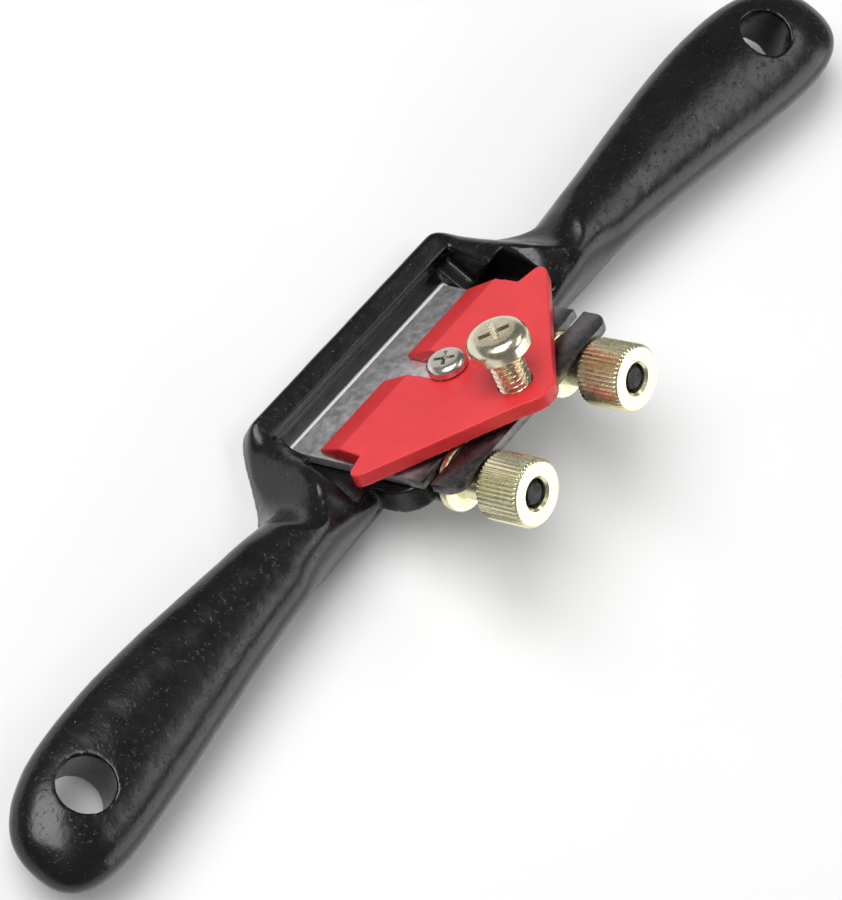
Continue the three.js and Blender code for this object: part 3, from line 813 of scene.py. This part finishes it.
def knurl(radii, heights, angles):
    """Straight grooves around the barrel, none on the flange."""
    groove = 0.5 - 0.5 * np.cos(KNURL_TEETH * angles)
    cut_radii = np.minimum(radii, NUT_RADIUS - KNURL_DEPTH * groove)
    return np.where(heights >= NUT_NECK_END_B, cut_radii, radii)


def nut(side):
    """Flange, neck and knurled barrel around a plain bore, from the flange up."""
    start, end, radius, bore = NUT_FLANGE_B, NUT_END_B, NUT_RADIUS, NUT_BORE
    flange_end = start + NUT_FLANGE_THICK
    flange = [
        (bore, start + 0.4), (bore + 0.4, start), (radius - 0.2, start), (radius, start + 0.2),
        (radius, flange_end - 0.2), (radius - 0.2, flange_end),
    ]
    neck = [
        (NUT_NECK + NUT_FILLET, flange_end), (NUT_NECK + 0.1, flange_end + 0.1),
        (NUT_NECK, flange_end + NUT_FILLET), (NUT_NECK, NUT_NECK_END_B - NUT_FILLET),
        (NUT_NECK + 0.1, NUT_NECK_END_B - 0.1), (NUT_NECK + NUT_FILLET, NUT_NECK_END_B),
    ]
    barrel = [
        (radius - 0.55, NUT_NECK_END_B), (radius, NUT_NECK_END_B + 0.4),
        (radius, end - 0.45), (radius - 0.25, end - 0.15), (radius - 0.5, end),
        (bore + 0.45, end), (bore, end - 0.45),
    ]
    steps = KNURL_TEETH * KNURL_STEPS
    return lathe(f"adjusting_nut_{side}_brass", flange + neck + barrel, steps, knurl, ring=True)


# ------------------------------------------------------------------ the object
def place(piece, body, node, slot, material):
    piece.data.materials.clear()
    piece.data.materials.append(material)
    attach(piece, body)
    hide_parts(node)
    return piece


steel = turned_metal("screw_steel", (0.58, 0.56, 0.50), (0.76, 0.73, 0.65), 0.26)
dark_steel = turned_metal("stud_steel", (0.02, 0.02, 0.021), (0.06, 0.06, 0.062), 0.42)
thumb_brass = turned_metal("thumbscrew_brass", (0.68, 0.62, 0.46), (0.84, 0.78, 0.60), 0.24)
nut_brass = turned_metal("nut_brass", (0.86, 0.81, 0.52), (0.95, 0.91, 0.64), 0.28)

place(body_casting(), "body", "body_casting", "black_enamel", black_enamel())
place(cutter(), "cutter", "cutter", "cutter_steel", ground_steel())
place(lever_cap(), "lever_cap", "lever_cap", "red_enamel", red_enamel())
place(lever_cap_screw(), "lever_cap_screw", "lever_cap_screw", "screw_steel", steel)
place(thumbscrew(), "thumbscrew", "thumbscrew", "thumbscrew_brass", thumb_brass)
for side, x in (("left", -STUD_X), ("right", STUD_X)):
    upright = BED @ Matrix.Translation((x, 0, STUD_N)) @ Matrix.Rotation(-math.pi / 2, 4, "X")
    place(finish(stud(side), upright, 38), "body", f"adjusting_stud_{side}", "stud_steel", dark_steel)
    place(finish(nut(side), upright, 30), f"nut_{side}", f"adjusting_nut_{side}", "nut_brass", nut_brass)


# ------------------------------------------------------------------ floor, light and camera
FLOOR_HALF, FLOOR_DROP = 2500.0, 0.02  # mm; the drop keeps the floor clear of the sole's plane
WORLD_STRENGTH = 0.17

# name, azimuth, elevation, distance and size in metres, and watts
LIGHTS = (
    ("overhead", 300, 63, 1.2, (1.0, 0.8), 14.3),
    ("back", 120, 16, 1.3, (1.2, 0.7), 5.6),
    ("ridge", 150, 52, 1.2, (0.9, 0.3), 2.3),
)

# metres and degrees
CAMERA_TARGET, CAMERA_DISTANCE = (0.0102, 0.0107, 0.008), 0.595
CAMERA_AZIMUTH, CAMERA_ELEVATION, CAMERA_ROLL = 5.585, 60.106, 35.46
CAMERA_SENSOR, CAMERA_LENS = 36, 144.4


def direction(azimuth, elevation):
    """Unit vector away from the tool. Azimuth 0 is +X, and 90 is +Y."""
    a, e = math.radians(azimuth), math.radians(elevation)
    return Vector((math.cos(a) * math.cos(e), math.sin(a) * math.cos(e), math.sin(e)))


def floor():
    half = FLOOR_HALF
    corners = [(-half, -half, 0), (half, -half, 0), (half, half, 0), (-half, half, 0)]
    sheet = made("floor", corners, [(0, 1, 2, 3)])
    sheet.data.transform(Matrix.Translation((0, 0, -FLOOR_DROP)))
    finish(sheet)
    sheet.data.materials.append(pale_floor())


def softbox(name, azimuth, elevation, distance, size, power):
    """An area light aimed at the tool."""
    data = bpy.data.lights.new(name, "AREA")
    data.shape = "RECTANGLE"
    data.size, data.size_y = size
    data.energy = power
    lamp = bpy.data.objects.new(name, data)
    away = direction(azimuth, elevation)
    lamp.location = away * distance
    lamp.rotation_mode = "QUATERNION"
    lamp.rotation_quaternion = away.to_track_quat("Z", "Y")
    bpy.context.scene.collection.objects.link(lamp)


def studio():
    world = bpy.data.worlds.new("studio")
    world.use_nodes = True
    back = next(n for n in world.node_tree.nodes if n.type == "BACKGROUND")
    back.inputs["Color"].default_value = (1, 1, 1, 1)
    back.inputs["Strength"].default_value = WORLD_STRENGTH
    bpy.context.scene.world = world
    for light in LIGHTS:
        softbox(*light)
    bpy.context.scene.view_settings.view_transform = "Standard"


def camera():
    """The view down on the tool from its right end, rolled so that the tool runs corner to corner."""
    data = bpy.data.cameras.new("camera")
    data.sensor_width = CAMERA_SENSOR
    data.lens = CAMERA_LENS
    data.clip_start, data.clip_end = 0.01, 20
    eye = bpy.data.objects.new("camera", data)
    away = direction(CAMERA_AZIMUTH, CAMERA_ELEVATION)
    level = Vector((0, 0, 1)).cross(away).normalized()
    upright = away.cross(level)
    turn = math.radians(CAMERA_ROLL)
    across = level * math.cos(turn) + upright * math.sin(turn)
    above = away.cross(across)
    spot = Vector(CAMERA_TARGET) + away * CAMERA_DISTANCE
    eye.matrix_world = Matrix.Translation(spot) @ Matrix((across, above, away)).transposed().to_4x4()
    bpy.context.scene.collection.objects.link(eye)
    bpy.context.scene.camera = eye


floor()
studio()
camera()
